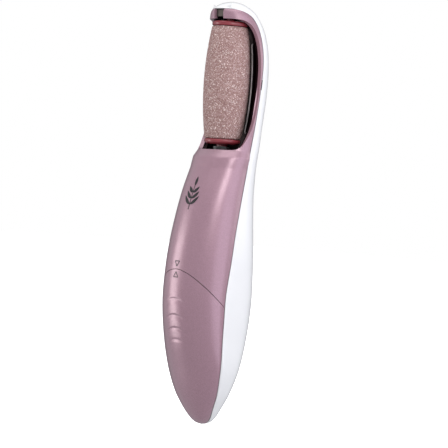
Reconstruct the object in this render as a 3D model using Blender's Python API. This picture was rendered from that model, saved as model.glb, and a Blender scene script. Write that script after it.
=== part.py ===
"""Electric callus remover: a slim handpiece with a spinning abrasive roller in its head.

The finished objects are in metres, +Z up. The roller turns about the Z axis and faces -Y, and
the power button is on the back, facing +Y. Sizes in this file are millimetres, and heights
are measured from the handpiece's lower tip. The origin is on the roller's axis, at the middle
of the hand grip, GRIP_HEIGHT above the tip.
"""

import math

import bmesh
import bpy
from mathutils import Matrix, Vector

MM = 0.001
GRIP_HEIGHT = 60.0
GAP = 0.3

# The whole outer form, as sections stacked upwards: height, front y, back y, half width.
STATIONS = (
    (0.0, -0.6, -0.6, 0.0),
    (0.8, -3.3, 3.0, 2.9),
    (3.0, -5.8, 5.0, 5.6),
    (8.0, -9.2, 6.9, 9.2),
    (15.0, -12.6, 9.2, 13.2),
    (26.0, -16.4, 12.5, 16.6),
    (40.0, -20.8, 16.2, 17.4),
    (55.0, -23.4, 18.2, 17.6),
    (68.0, -23.3, 18.1, 17.4),
    (80.0, -22.1, 17.3, 17.0),
    (93.0, -19.5, 16.0, 16.3),
    (105.0, -16.2, 15.1, 15.6),
    (115.0, -12.3, 15.1, 15.1),
    (121.0, -9.7, 15.4, 14.9),
    (126.0, -6.8, 15.8, 14.8),
    (136.0, -6.0, 16.7, 14.9),
    (150.0, -6.0, 18.4, 15.0),
    (163.0, -6.0, 18.7, 14.9),
    (172.0, -6.4, 17.8, 14.2),
    (179.0, -7.2, 16.1, 12.9),
    (184.0, -7.9, 13.6, 11.4),
    (187.5, -8.2, 11.0, 9.7),
    (190.0, -6.6, 8.3, 6.8),
    (191.5, -3.6, 5.4, 4.0),
    (192.3, 0.8, 0.8, 0.0),
)
SECTION_POWER = 2.3
SECTION_POINTS = 28
INNER_POINTS = 24
ROWS_PER_SPAN = 2

# The line between the rear shell and the front pieces, seen from the side: y, height.
SEAM = (
    (0.8, -3.0), (0.0, 1.5), (-2.4, 7.0), (-4.6, 15.0), (-6.4, 24.0), (-7.4, 36.0),
    (-7.8, 48.0), (-7.7, 60.0), (-5.8, 73.0), (-3.8, 86.0), (-1.6, 97.0), (0.5, 107.0),
    (2.6, 117.0), (4.3, 127.0), (5.7, 136.0), (7.0, 146.0), (8.1, 156.0), (8.5, 165.0),
    (8.0, 173.0), (6.5, 180.0), (4.0, 184.6), (-0.4, 187.3), (-5.0, 188.4), (-12.0, 188.6),
)

# The edge of the roller's window, seen from the side: y, height.
WINDOW_SILL = 124.8
WINDOW_TOP = 184.0
WINDOW = (
    (-5.2, WINDOW_SILL), (-3.2, 125.2), (-1.6, 126.2), (-0.2, 127.8), (1.3, 130.3),
    (3.0, 133.8), (4.3, 137.5), (5.3, 142.0), (6.2, 149.0), (6.6, 156.0), (6.6, 163.0),
    (6.0, 170.0), (4.8, 176.0), (2.6, 180.6), (-1.0, 183.3), (-5.0, WINDOW_TOP),
)

# The arched upper edge of the battery cover, seen from the front.
COVER_APEX = 70.0
COVER_FALL = 9.96
COVER_SIDE = 17.6
COVER_POWER = 1.57

SHELL_WALL = 2.0
FRONT_WALL = 1.8
CRADLE_OUTER = 2.4
CRADLE_INNER = 3.6
CRADLE_FLOOR = (122.9, 124.5)
FAR = 60.0

# Roller, from the drive peg up to the bearing pin.
ROLLER_MIDDLE = 155.35
SLEEVE_HALF = 25.45
SLEEVE_END_RADIUS = 8.3
SLEEVE_CROWN = 2.1
SLEEVE_BORE = 6.9
PEG_SIDE = 3.7
PEG_BOTTOM = 122.6
PIN_RADIUS = 1.9
PIN_TOP = 186.3
CAP_HEIGHT = 2.7
CORE_FLOOR = 131.0

# Drive train, two stages of 12 into 24 teeth, with the intermediate gear beside the axis.
GEAR_MODULE = 0.4
PINION_TEETH = 12
WHEEL_TEETH = 24
GEAR_CENTRES = GEAR_MODULE * (PINION_TEETH + WHEEL_TEETH) / 2
CLUSTER_ANGLE = math.radians(-45)
CLUSTER_CENTRE = (GEAR_CENTRES * math.cos(CLUSTER_ANGLE), GEAR_CENTRES * math.sin(CLUSTER_ANGLE))
LOWER_PLATE = (104.5, 105.9)
FIRST_STAGE = (106.5, 109.3)
SECOND_STAGE = (109.9, 112.5)
UPPER_PLATE = (113.2, 114.8)
BOSS_TOP = 116.4
PLATE_RADIUS = 11.8
PLATE_FLAT = 8.2
POSTS = ((-8.0, -5.5), (8.2, 5.8), (-8.2, 5.8))
POST_RADIUS = 1.9

MOTOR_RADIUS = 10.0
MOTOR_FLAT = 7.55
MOTOR_WALL = 0.8
MOTOR_CAN = (82.4, 104.2)
ARMATURE = (86.0, 99.5)
ARMATURE_RADIUS = 6.2
COMMUTATOR = (82.8, 85.0)
COMMUTATOR_RADIUS = 2.6
SHAFT_RADIUS = 1.0

CELL_RADIUS = 7.1
CELL_X = 7.3
CELL_Y = -2.4
CELL = (27.4, 77.9)

# Everything above this height and below this depth lies clear of the object.
SKY = 230
DEPTH = -20

BUTTON = (104.8, 118.8)
BUTTON_HALF_WIDTH = 6.0
BUTTON_CORNER = 4.0
BUTTON_RISE = 1.9
FOOT = (109.6, 112.6)
FOOT_HALF_WIDTH = 1.7
SWITCH_TRAVEL = 3.0

materials = {}


def material(name, colour, roughness, metallic=0.0):
    """A Principled material, made once for each name."""
    if name not in materials:
        made = bpy.data.materials.new(name)
        made.use_nodes = True
        shader = made.node_tree.nodes["Principled BSDF"]
        shader.inputs["Base Color"].default_value = (*colour, 1.0)
        shader.inputs["Roughness"].default_value = roughness
        shader.inputs["Metallic"].default_value = metallic
        made.diffuse_color = (*colour, 1.0)
        materials[name] = made
    return materials[name]


def pink():
    return material("mauve_paint", (0.36, 0.21, 0.25), 0.32, 0.35)


def white():
    return material("white_plastic", (0.82, 0.83, 0.84), 0.18)


def black():
    return material("black_plastic", (0.02, 0.018, 0.02), 0.3)


def burgundy():
    return material("burgundy_plastic", (0.22, 0.06, 0.06), 0.4)


def abrasive():
    return material("mineral_grit", (0.42, 0.27, 0.27), 0.85)


def steel():
    return material("steel", (0.6, 0.6, 0.6), 0.25, 1.0)


def brass():
    return material("brass", (0.7, 0.5, 0.22), 0.3, 1.0)


def gear_plastic():
    return material("acetal", (0.78, 0.76, 0.7), 0.4)


def grey():
    return material("grey_plastic", (0.3, 0.29, 0.29), 0.35)


def point(x, y, height):
    """A design point in millimetres, as a place in the scene in metres."""
    return Vector((x, y, height - GRIP_HEIGHT)) * MM


def finish(name, bm, look, sharp_angle=32):
    """Write a bmesh to a named object, its faces turned outwards and its curves smooth."""
    bmesh.ops.recalc_face_normals(bm, faces=bm.faces)
    mesh = bpy.data.meshes.new(name)
    bm.to_mesh(mesh)
    bm.free()
    made = bpy.data.objects.new(name, mesh)
    bpy.context.scene.collection.objects.link(made)
    mesh.shade_smooth()
    mesh.set_sharp_from_angle(angle=math.radians(sharp_angle))
    if look is None:
        made.hide_render = True
        made.display_type = "WIRE"
    else:
        mesh.materials.append(look)
    return made


def boolean(target, operation, *tools):
    """Cut, join or intersect an object with others, and leave it as modifiers."""
    for tool in tools:
        modifier = target.modifiers.new(tool.name, "BOOLEAN")
        modifier.operation = operation
        modifier.solver = "EXACT"
        modifier.object = tool
    return target


def stacked(name, rings, look, ring_closed=False):
    """Skin rings of points into a closed solid. A ring of one point is a pole."""
    bm = bmesh.new()
    rows = [[bm.verts.new(place) for place in ring] for ring in rings]
    pairs = list(zip(rows, rows[1:]))
    if ring_closed:
        pairs.append((rows[-1], rows[0]))
    for low, high in pairs:
        count = max(len(low), len(high))
        for index in range(count):
            after = (index + 1) % count
            if len(low) == 1:
                bm.faces.new((low[0], high[after], high[index]))
            elif len(high) == 1:
                bm.faces.new((low[index], low[after], high[0]))
            else:
                bm.faces.new((low[index], low[after], high[after], high[index]))
    if not ring_closed:
        for ring in (rows[0], rows[-1]):
            if len(ring) > 1:
                bm.faces.new(ring)
    return finish(name, bm, look)


def turned(name, profile, look, centre=(0.0, 0.0), sides=24):
    """Turn a profile of (radius, height) about a vertical axis. Without a zero radius at its
    ends, the profile is a closed loop and the solid is a ring."""
    rings = []
    for radius, height in profile:
        if radius == 0:
            rings.append([point(centre[0], centre[1], height)])
            continue
        ring = []
        for index in range(sides):
            angle = math.tau * index / sides
            x = centre[0] + radius * math.cos(angle)
            y = centre[1] + radius * math.sin(angle)
            ring.append(point(x, y, height))
        rings.append(ring)
    return stacked(name, rings, look, ring_closed=profile[0][0] > 0)


def disc(name, radius, low, high, look=None, centre=(0.0, 0.0), sides=24):
    profile = ((0, low), (radius, low), (radius, high), (0, high))
    return turned(name, profile, look, centre, sides)


def washer(name, bore, radius, low, high, look, centre=(0.0, 0.0), sides=24):
    profile = ((bore, low), (radius, low), (radius, high), (bore, high))
    return turned(name, profile, look, centre, sides)


def extruded(name, outline, axis, low, high, look=None):
    """Extrude an outline along an axis. The outline is (y, height) for X, (x, height) for Y
    and (x, y) for Z."""
    makers = {
        "X": lambda u, v, w: point(w, u, v),
        "Y": lambda u, v, w: point(u, w, v),
        "Z": lambda u, v, w: point(u, v, w),
    }
    rings = [[makers[axis](u, v, w) for u, v in outline] for w in (low, high)]
    return stacked(name, rings, look)


def block(name, x_range, y_range, z_range, look=None):
    outline = [(x, y) for x, y in zip((x_range[0], x_range[1], x_range[1], x_range[0]),
                                      (y_range[0], y_range[0], y_range[1], y_range[1]))]
    return extruded(name, outline, "Z", z_range[0], z_range[1], look)


def spline(points, steps):
    """A smooth curve through points of any dimension, with steps samples to each span."""
    samples = []
    last = len(points) - 1
    for span in range(last):
        before = points[max(span - 1, 0)]
        start, end = points[span], points[span + 1]
        after = points[min(span + 2, last)]
        length = math.dist(start, end)
        lead = length / max(math.dist(before, end), 1e-9)
        trail = length / max(math.dist(start, after), 1e-9)
        for step in range(steps):
            t = step / steps
            weights = (
                2 * t**3 - 3 * t**2 + 1,
                t**3 - 2 * t**2 + t,
                3 * t**2 - 2 * t**3,
                t**3 - t**2,
            )
            samples.append(tuple(
                weights[0] * a + weights[1] * lead * (b - p)
                + weights[2] * b + weights[3] * trail * (n - a)
                for p, a, b, n in zip(before, start, end, after)
            ))
    samples.append(tuple(points[-1]))
    return samples


def offset_path(path, distance):
    """Move an open 2D path sideways, to the left of its direction for a positive distance."""
    moved = []
    for index, place in enumerate(path):
        behind = path[max(index - 1, 0)]
        ahead = path[min(index + 1, len(path) - 1)]
        du, dv = ahead[0] - behind[0], ahead[1] - behind[1]
        length = math.hypot(du, dv)
        moved.append((place[0] - dv / length * distance, place[1] + du / length * distance))
    return moved


def section(height, front, back, half_width, inset=0.0, count=SECTION_POINTS):
    """One superellipse ring of the outer form, drawn in by inset."""
    front, back, half_width = front + inset, back - inset, half_width - inset
    middle, half_depth = (front + back) / 2, (back - front) / 2
    power = 2 / SECTION_POWER
    ring = []
    for index in range(count):
        angle = math.tau * index / count
        cosine, sine = math.cos(angle), math.sin(angle)
        x = half_width * math.copysign(abs(cosine) ** power, cosine)
        y = middle + half_depth * math.copysign(abs(sine) ** power, sine)
        ring.append(point(x, y, height))
    return ring


def full_form(name, inset=0.0):
    """The whole outer form with its round ends, pulled inwards along its normals."""
    rows = spline(STATIONS, 1 if inset else ROWS_PER_SPAN)
    count = INNER_POINTS if inset else SECTION_POINTS
    rings = [section(*row, count=count) for row in rows[1:-1]]
    rings.insert(0, [point(0, rows[0][1], rows[0][0])])
    rings.append([point(0, rows[-1][1], rows[-1][0])])
    made = stacked(name, rings, None)
    if inset:
        mesh = made.data
        moves = [vertex.normal * inset * MM for vertex in mesh.vertices]
        for vertex, move in zip(mesh.vertices, moves):
            vertex.co -= move
    return made


def part_form(name, low, high, inset):
    """A stretch of the form between two heights, with flat ends, drawn in by inset."""
    rows = spline(STATIONS, 1)
    inside = [row for row in rows if low + 0.5 < row[0] < high - 0.5]
    ends = []
    for height in (low, high):
        upper = next(index for index, row in enumerate(rows) if row[0] >= height)
        a, b = rows[upper - 1], rows[upper]
        t = (height - a[0]) / (b[0] - a[0])
        ends.append(tuple(p + (q - p) * t for p, q in zip(a, b)))
    rings = [section(*row, inset, INNER_POINTS) for row in (ends[0], *inside, ends[1])]
    return stacked(name, rings, None)


def seam_side(name, rear):
    """Everything behind the seam line, or everything in front of it."""
    path = offset_path(spline(SEAM, 3), -GAP / 2 if rear else GAP / 2)
    edge = FAR if rear else -FAR
    if rear:
        around = [(-FAR, path[-1][1]), (-FAR, SKY), (edge, SKY), (edge, DEPTH)]
    else:
        around = [(edge, path[-1][1]), (edge, DEPTH)]
    around.append((path[0][0], DEPTH))
    return extruded(name, path + around, "X", -FAR, FAR)


def window_tunnel(name, shift=0.0):
    """The space in front of the window's edge, where the roller stands free."""
    path = [(y + shift, height) for y, height in spline(WINDOW, 2)]
    return extruded(name, path + [(-FAR, WINDOW_TOP), (-FAR, WINDOW_SILL)], "X", -FAR, FAR)


def cover_edge(x):
    """The arch falls away with the turn round the body, so that it is nearly straight."""
    turn = math.asin(min(abs(x) / COVER_SIDE, 1.0) ** (SECTION_POWER / 2))
    return COVER_APEX - COVER_FALL * turn**COVER_POWER


def cover_side(name, below):
    """Everything below the battery cover's arched edge, or everything above it."""
    half = 22.0
    steps = 22
    path = [(half * k / steps, cover_edge(half * k / steps)) for k in range(-steps, steps + 1)]
    path = offset_path(path, -GAP / 2 if below else GAP / 2)
    level = DEPTH if below else SKY
    return extruded(name, path + [(half, level), (-half, level)], "Y", -FAR, FAR)


def sleeve_radius(height):
    """The barrel shape of the roller."""
    along = (height - ROLLER_MIDDLE) / SLEEVE_HALF
    return SLEEVE_END_RADIUS + SLEEVE_CROWN * (1 - along * along)


def gear_outline(teeth, phase, centre=(0.0, 0.0)):
    """An involute gear with slightly thinned teeth. phase is the angle of one tooth."""
    pitch = GEAR_MODULE * teeth / 2
    base = pitch * math.cos(math.radians(20))
    tip = pitch + 0.92 * GEAR_MODULE
    root = pitch - 1.25 * GEAR_MODULE
    thinning = 0.05 / pitch

    def spread(radius):
        if radius <= base:
            return 0.0
        roll = math.sqrt((radius / base) ** 2 - 1)
        return roll - math.atan(roll)

    half_at_pitch = math.pi / (2 * teeth) - thinning
    flank = [root, pitch, tip]
    outline = []
    for tooth in range(teeth):
        middle = phase + math.tau * tooth / teeth
        rising = [(r, middle - half_at_pitch - spread(pitch) + spread(r)) for r in flank]
        falling = [(r, 2 * middle - angle) for r, angle in reversed(rising)]
        for radius, angle in rising + falling:
            x = centre[0] + radius * math.cos(angle)
            y = centre[1] + radius * math.sin(angle)
            outline.append((x, y))
    return outline


def tube(name, path, radius, look, sides=8):
    """A round wire along a path of scene points, with flat ends."""
    rings = []
    up = Vector((0, 0, 1))
    for index, place in enumerate(path):
        ahead = path[min(index + 1, len(path) - 1)] - path[max(index - 1, 0)]
        ahead.normalize()
        if abs(ahead.dot(up)) > 0.95:
            up = Vector((1, 0, 0))
        side = ahead.cross(up).normalized()
        up = side.cross(ahead).normalized()
        ring = []
        for corner in range(sides):
            turn = math.tau * corner / sides
            ring.append(place + (side * math.cos(turn) + up * math.sin(turn)) * radius * MM)
        rings.append(ring)
    return stacked(name, rings, look)


def coil(name, radii, heights, turns, wire, look, centre=(0.0, 0.0), steps=12, sides=5):
    """A coil spring between two heights, whose radius may change from end to end."""
    path = []
    total = round(turns * steps)
    for index in range(total + 1):
        t = index / total
        angle = math.tau * turns * t
        radius = radii[0] + (radii[1] - radii[0]) * t
        height = heights[0] + wire + (heights[1] - heights[0] - 2 * wire) * t
        x = centre[0] + radius * math.cos(angle)
        y = centre[1] + radius * math.sin(angle)
        path.append(point(x, y, height))
    rings = []
    for index, place in enumerate(path):
        ahead = path[min(index + 1, total)] - path[max(index - 1, 0)]
        ahead.normalize()
        axis = point(centre[0], centre[1], 0)
        outward = Vector((place.x - axis.x, place.y - axis.y, 0)).normalized()
        side = ahead.cross(outward).normalized()
        outward = side.cross(ahead)
        ring = []
        for corner in range(sides):
            turn = math.tau * corner / sides
            ring.append(place + (outward * math.cos(turn) + side * math.sin(turn)) * wire * MM)
        rings.append(ring)
    return stacked(name, rings, look)


def use(name, form, look):
    """Turn a guide form into a visible piece of its own."""
    form.name = name
    form.hide_render = False
    form.display_type = "TEXTURED"
    form.data.materials.append(look)
    return form


def make_shells():
    rear_side = seam_side("rear_side", True)
    front_side = seam_side("front_side", False)
    hollow = full_form("shell_hollow", SHELL_WALL)

    rear = use("rear_shell", full_form("rear_form"), white())
    boolean(rear, "INTERSECT", rear_side)
    slot_half = FOOT_HALF_WIDTH + GAP
    slot_heights = (FOOT[0] - GAP, FOOT[1] + SWITCH_TRAVEL + GAP)
    switch_slot = block("switch_slot", (-slot_half, slot_half), (5, FAR), slot_heights)
    boolean(rear, "DIFFERENCE", hollow, switch_slot)

    front = use("front_shell", full_form("front_form"), pink())
    boolean(front, "INTERSECT", front_side, cover_side("above_cover", False))
    front_hollow = part_form("front_hollow", 30, 183.6, FRONT_WALL)
    pin_slot = block("pin_slot", (-2.87, 2.87), (-FAR, 3.2), (182, 200))
    boolean(front, "DIFFERENCE", front_hollow, window_tunnel("window"), pin_slot)

    cover = use("battery_cover", full_form("cover_form"), pink())
    boolean(cover, "INTERSECT", front_side, cover_side("below_cover", True))
    boolean(cover, "DIFFERENCE", hollow)
    tongue = [(-22.0, 62), (-22.0, 68.4), (-19.7, 69.4), (-19.7, 74), (-18.5, 74), (-18.5, 62)]
    boolean(cover, "UNION", extruded("cover_tongue", tongue, "X", -4, 4))


def make_cradle():
    """The black trough behind the roller, with the floor that the drive socket comes through."""
    low, high = CRADLE_FLOOR
    cradle = use("roller_cradle", part_form("cradle_form", low, 183.3, CRADLE_OUTER), black())
    trough = part_form("cradle_trough", high, 188, CRADLE_INNER)
    sweep = [(0, high)]
    for step in range(9):
        height = high + (184.5 - high) * step / 8
        inside = min(max(height, 129.9), 180.8)
        sweep.append((sleeve_radius(inside) + 0.8, height))
    sweep.append((0, 184.5))
    socket_hole = disc("socket_hole", 5.9, 120, 130)
    tools = (trough, window_tunnel("cradle_window", 0.4), turned("roller_sweep", sweep, None))
    boolean(cradle, "DIFFERENCE", *tools, socket_hole)
    washer("socket_seal", 4.3, 5.6, 123.1, 124.3, material("felt", (0.1, 0.1, 0.1), 0.9))

    bearing = block("bearing_block", (-2.55, 2.55), (-6.8, 2.7), (185.1, 188.0), steel())
    boolean(bearing, "DIFFERENCE", disc("bearing_bore", PIN_RADIUS + GAP, 184, 186.7))


def make_roller():
    low, high = ROLLER_MIDDLE - SLEEVE_HALF, ROLLER_MIDDLE + SLEEVE_HALF
    profile = [(SLEEVE_BORE, high), (SLEEVE_BORE, low)]
    for step in range(11):
        height = low + (high - low) * step / 10
        profile.append((sleeve_radius(height), height))
    turned("abrasive_sleeve", profile, abrasive(), sides=28)

    body = SLEEVE_BORE - GAP
    cap_top = low - GAP
    cap_bottom = cap_top - CAP_HEIGHT
    bottom_radius = SLEEVE_END_RADIUS - 1.2
    core_profile = (
        (0, cap_bottom), (bottom_radius, cap_bottom), (SLEEVE_END_RADIUS, cap_bottom + 1.3),
        (SLEEVE_END_RADIUS, cap_top), (body, cap_top), (body, high - 0.4),
        (4.8, high - 0.4), (4.8, CORE_FLOOR), (0, CORE_FLOOR),
    )
    core = turned("roller_core", core_profile, burgundy())
    half = PEG_SIDE / 2
    peg = block("drive_peg", (-half, half), (-half, half), (PEG_BOTTOM, cap_bottom + 0.5))
    boolean(core, "UNION", peg)

    top = high + GAP
    cap_profile = (
        (0, top - 6.0), (4.5, top - 6.0), (4.5, top), (SLEEVE_END_RADIUS, top),
        (SLEEVE_END_RADIUS, top + 0.8), (bottom_radius, top + 2.0), (PIN_RADIUS, top + 2.0),
        (PIN_RADIUS, PIN_TOP - 0.3), (PIN_RADIUS - 0.4, PIN_TOP), (0, PIN_TOP),
    )
    turned("roller_end_cap", cap_profile, burgundy())


def make_drive():
    half = PEG_SIDE / 2
    bore = half + GAP
    socket_profile = (
        (0, 118.6), (4.0, 118.6), (4.0, 121.4), (5.5, 121.4), (5.5, 122.5), (4.0, 122.5),
        (4.0, 126.4), (0, 126.4),
    )
    socket = turned("drive_socket", socket_profile, grey())
    boolean(socket, "DIFFERENCE", block("socket_bore", (-bore, bore), (-bore, bore), (117, 128)))
    coil("socket_spring", (4.95, 4.95), (115.1, 121.1), 3.5, 0.3, steel())

    spindle = disc("output_spindle", 1.6, SECOND_STAGE[0], 117.2, steel(), sides=20)
    square = block("spindle_square", (-half, half), (-half, half), (116.9, 120.4))
    boolean(spindle, "UNION", square)
    washer("spindle_bush", 1.9, 3.0, 113.0, 116.2, brass(), sides=24)

    facing = CLUSTER_ANGLE + math.pi
    half_tooth = math.pi / WHEEL_TEETH
    bore_radius = SHAFT_RADIUS + GAP
    gears = (
        ("motor_pinion", PINION_TEETH, CLUSTER_ANGLE, (0, 0), FIRST_STAGE, bore_radius),
        ("output_gear", WHEEL_TEETH, CLUSTER_ANGLE + half_tooth, (0, 0), SECOND_STAGE, 1.9),
    )
    for name, teeth, phase, centre, heights, hole in gears:
        gear = extruded(name, gear_outline(teeth, phase, centre), "Z", *heights, gear_plastic())
        boolean(gear, "DIFFERENCE", disc(name + "_bore", hole, 100, 120, sides=20))

    wheel = gear_outline(WHEEL_TEETH, facing + half_tooth, CLUSTER_CENTRE)
    cluster = extruded("cluster_gear", wheel, "Z", *FIRST_STAGE, gear_plastic())
    small = gear_outline(PINION_TEETH, facing, CLUSTER_CENTRE)
    small_top = extruded("cluster_pinion", small, "Z", FIRST_STAGE[1] - 0.4, SECOND_STAGE[1])
    boolean(cluster, "UNION", small_top)
    bore = disc("cluster_bore", 1.0, 100, 120, centre=CLUSTER_CENTRE, sides=16)
    boolean(cluster, "DIFFERENCE", bore)
    disc("cluster_pin", 0.7, 104.6, 114.7, steel(), CLUSTER_CENTRE, sides=16)


def plate_outline():
    """A round plate with a flat towards the circuit board."""
    outline = []
    flat_angle = math.asin(PLATE_FLAT / PLATE_RADIUS)
    start, sweep = math.pi - flat_angle, math.pi + 2 * flat_angle
    for step in range(29):
        angle = start + sweep * step / 28
        outline.append((PLATE_RADIUS * math.cos(angle), PLATE_RADIUS * math.sin(angle)))
    return outline


def make_gearbox():
    inner = part_form("gearbox_limit", 100, 120, 2.6)
    pin_hole = disc("pin_hole", 1.0, 100, 120, centre=CLUSTER_CENTRE, sides=16)
    screw_holes = []
    for index, place in enumerate(POSTS):
        hole = disc(f"screw_hole_{index + 1}", 1.1, 107.2, 120, centre=place, sides=12)
        screw_holes.append(hole)

    lower = extruded("gear_plate", plate_outline(), "Z", *LOWER_PLATE, black())
    boolean(lower, "INTERSECT", inner)
    for index, place in enumerate(POSTS):
        post = disc(f"post_{index + 1}", POST_RADIUS, 105.0, 112.9, centre=place, sides=16)
        boolean(lower, "UNION", post)
    boolean(lower, "DIFFERENCE", disc("shaft_hole", 3.0, 100, 120), pin_hole, *screw_holes)

    upper = extruded("gear_cover", plate_outline(), "Z", *UPPER_PLATE, black())
    boolean(upper, "INTERSECT", inner)
    boolean(upper, "UNION", disc("cover_boss", 4.2, 114.0, BOSS_TOP))
    boolean(upper, "DIFFERENCE", disc("bush_hole", 3.3, 100, 120), pin_hole, *screw_holes)

    screw = ((0, 108.0), (0.8, 108.0), (0.8, 115.1), (1.6, 115.1), (1.6, 116.1), (0, 116.1))
    for index, place in enumerate(POSTS):
        turned(f"gear_screw_{index + 1}", screw, steel(), place, sides=16)


def motor_outline(inset=0.0):
    """The motor's round section with its two flats."""
    radius, flat = MOTOR_RADIUS - inset, MOTOR_FLAT - inset
    corner = math.asin(flat / radius)
    outline = []
    for middle in (0.0, math.pi):
        for step in range(9):
            angle = middle - corner + 2 * corner * step / 8
            outline.append((radius * math.cos(angle), radius * math.sin(angle)))
    return outline


def arc_outline(inner, outer, middle, half_angle, steps=8):
    """A curved bar, as an outline seen from above."""
    angles = [middle + half_angle * (2 * step / steps - 1) for step in range(steps + 1)]
    outside = [(outer * math.cos(angle), outer * math.sin(angle)) for angle in angles]
    inside = [(inner * math.cos(angle), inner * math.sin(angle)) for angle in angles]
    return outside + inside[::-1]


def make_motor():
    low, high = MOTOR_CAN
    can = extruded("motor_can", motor_outline(), "Z", low, high, steel())
    hollow = extruded("can_hollow", motor_outline(MOTOR_WALL), "Z", low - 1, high - MOTOR_WALL)
    hole = disc("can_hole", SHAFT_RADIUS + GAP, 80, 110, sides=16)
    boolean(can, "DIFFERENCE", hollow, hole)
    end_cap = extruded("motor_end_cap", motor_outline(), "Z", 81.1, low - GAP, white())
    boolean(end_cap, "DIFFERENCE", hole)
    disc("motor_shaft", SHAFT_RADIUS, 81.2, 109.6, steel(), sides=16)
    bore = SHAFT_RADIUS + GAP
    washer("motor_commutator", bore, COMMUTATOR_RADIUS, *COMMUTATOR, brass(), sides=16)

    armature = washer("motor_armature", bore, ARMATURE_RADIUS, *ARMATURE, brass(), sides=30)
    for index in range(3):
        angle = math.tau * index / 3
        slot = block(f"armature_slot_{index + 1}", (2.6, 9.0), (-0.7, 0.7), (85, 101))
        slot.data.transform(Matrix.Rotation(angle, 4, "Z"))
        boolean(armature, "DIFFERENCE", slot)

    ferrite = material("ferrite", (0.05, 0.05, 0.05), 0.6)
    reach = (ARMATURE_RADIUS + GAP, MOTOR_RADIUS - MOTOR_WALL - GAP)
    for side, facing in (("left", math.pi), ("right", 0.0)):
        arc = arc_outline(*reach, facing, math.radians(42))
        extruded(f"motor_magnet_{side}", arc, "Z", *ARMATURE, ferrite)
        near, far = COMMUTATOR_RADIUS + GAP, 6.0
        x_range = (near, far) if facing == 0.0 else (-far, -near)
        block(f"motor_brush_{side}", x_range, (-0.9, 0.9), (83.2, 84.6), brass())


def rounded_patch(half_width, low, high, radius, steps=5):
    """A rectangle with round corners, centred across the object, as x and height."""
    side = half_width - radius
    corners = (
        (side, low + radius, -90), (side, high - radius, 0),
        (-side, high - radius, 90), (-side, low + radius, 180),
    )
    patch = []
    for x, height, start in corners:
        for step in range(steps + 1):
            angle = math.radians(start + 90 * step / steps)
            patch.append((x + radius * math.cos(angle), height + radius * math.sin(angle)))
    return patch


def make_power():
    green = material("circuit_board", (0.03, 0.2, 0.09), 0.5)
    block("circuit_board", (-8, 8), (8.6, 9.8), (84, 119), green)
    block("switch_body", (-4.6, 4.6), (10.1, 12.0), (106.5, 116.5), black())
    low, high = FOOT
    block("switch_lever", (-1.0, 1.0), (12.3, 13.7), (low + 0.7, high - 0.7), gear_plastic())

    button = use("power_button", part_form("button_form", 95, 128, -BUTTON_RISE), grey())
    patch = rounded_patch(BUTTON_HALF_WIDTH, *BUTTON, BUTTON_CORNER)
    boolean(button, "INTERSECT", extruded("button_patch", patch, "Y", 5, FAR))
    boolean(button, "DIFFERENCE", part_form("button_under", 90, 133, -0.45))
    foot_half = (-FOOT_HALF_WIDTH, FOOT_HALF_WIDTH)
    boolean(button, "UNION", block("button_foot", foot_half, (12.6, 15.9), FOOT))
    fork = block("foot_fork", (-3, 3), (12.0, 14.0), (low + 0.4, high - 0.4))
    boolean(button, "DIFFERENCE", fork)


def cell(name, x, upright):
    low, high = CELL
    profile = [
        (0, 0), (CELL_RADIUS - 0.6, 0), (CELL_RADIUS, 0.6), (CELL_RADIUS, 48.6),
        (CELL_RADIUS - 0.6, 49.2), (2.7, 49.2), (2.7, high - low), (0, high - low),
    ]
    if upright:
        shape = [(radius, low + along) for radius, along in profile]
    else:
        shape = [(radius, high - along) for radius, along in reversed(profile)]
    turned(name, shape, material("cell_wrap", (0.08, 0.1, 0.13), 0.35, 0.5), (x, CELL_Y))


def make_battery_bay():
    c_shape = [
        (6.6, 21.4), (6.6, 80.8), (-9.5, 80.8), (-9.5, 79.3), (0.6, 79.3), (0.6, 22.9),
        (-9.5, 22.9), (-9.5, 21.4),
    ]
    carrier = extruded("battery_carrier", c_shape, "X", -14.4, 14.4, black())
    boolean(carrier, "INTERSECT", part_form("bay_limit", 15, 85, 2.6))
    for side, x in (("left", -CELL_X), ("right", CELL_X)):
        bore = disc(f"cell_bore_{side}", CELL_RADIUS + GAP, 23.5, 78.7, centre=(x, CELL_Y))
        boolean(carrier, "DIFFERENCE", bore)
        cell(f"battery_{side}", x, side == "left")
        coil(f"contact_spring_{side}", (4.2, 2.0), (24.0, 27.1), 2.5, 0.25, steel(),
             (x, CELL_Y))
        plate_x = (x - 3.8, x + 3.8)
        block(f"contact_plate_{side}", plate_x, (-6.0, 0.2), (78.4, 78.9), steel())
    block("contact_bridge", (-11.5, 11.5), (-6.4, 0.2), (23.2, 23.7), steel())


def make_wires():
    """Leads along the sides of the bay, each held between the carrier and the rear shell."""
    side_route = (
        (10.2, 7.4, 79.0), (10.6, 7.6, 86.0), (10.5, 7.9, 95.0), (9.7, 8.3, 102.0),
        (8.9, 8.8, 106.0), (8.8, 9.2, 110.0),
    )
    leads = (("red_lead", -1, (0.5, 0.02, 0.02)), ("black_lead", 1, (0.01, 0.01, 0.01)))
    for name, side, colour in leads:
        path = [point(side * x, y, height) for x, y, height in spline(side_route, 3)]
        tube(name, path, 0.5, material(name, colour, 0.5))


def main():
    for old in list(bpy.data.objects):
        bpy.data.objects.remove(old)
    make_shells()
    make_cradle()
    make_roller()
    make_drive()
    make_gearbox()
    make_motor()
    make_power()
    make_battery_bay()
    make_wires()


main()
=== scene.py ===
"""Looks of an electric callus remover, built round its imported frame.

Design sizes are millimetres, and heights are measured from the handpiece's lower tip.
The roller turns about the Z axis and faces -Y, and the power button is on the back.
"""

import math

import bmesh
import bpy
import numpy as np
from mathutils import Matrix, Vector


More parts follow.
